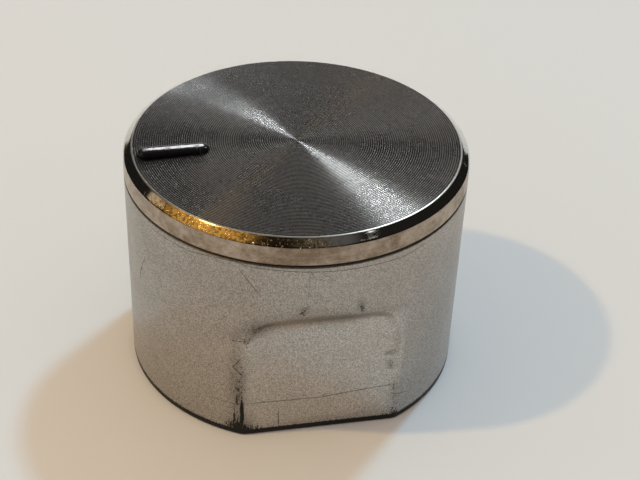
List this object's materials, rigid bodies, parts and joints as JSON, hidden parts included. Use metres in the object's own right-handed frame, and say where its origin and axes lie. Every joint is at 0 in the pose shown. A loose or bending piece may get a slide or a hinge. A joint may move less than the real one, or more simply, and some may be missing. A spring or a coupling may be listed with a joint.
{
  "type": "stove control knob",
  "caption": "Round stove control knob with a turned metal cap, a raised black pointer, arched thumb flats on a worn silver body and a keyed hub for a D-shaped stem.",
  "frame": {"origin": "centre of the open foot rim, on the stem's axis", "axes": "+Z along the stem's axis towards the cap's face, +Y towards the pointer, thumb flats facing +X and -X"},
  "size_m": [0.043, 0.043, 0.0313],
  "materials": {
    "silver_paint": "satin silver paint over black plastic, worn at the foot and edges",
    "turned_aluminium": "fine concentric turning with a polished chamfer",
    "adhesive_film": "matt",
    "pointer_black": "gloss black",
    "hub_plastic": "moulded, matt",
    "spring_steel": "bright rolled strip"
  },
  "bodies": {
    "root": {"knob_shell": "silver_paint", "top_cap": "turned_aluminium", "cap_adhesive": "adhesive_film", "pointer_bar": "pointer_black", "stem_hub": "hub_plastic", "hub_spring_ring": "spring_steel", "stem_spring_clip": "spring_steel"}
  },
  "joints": []
}
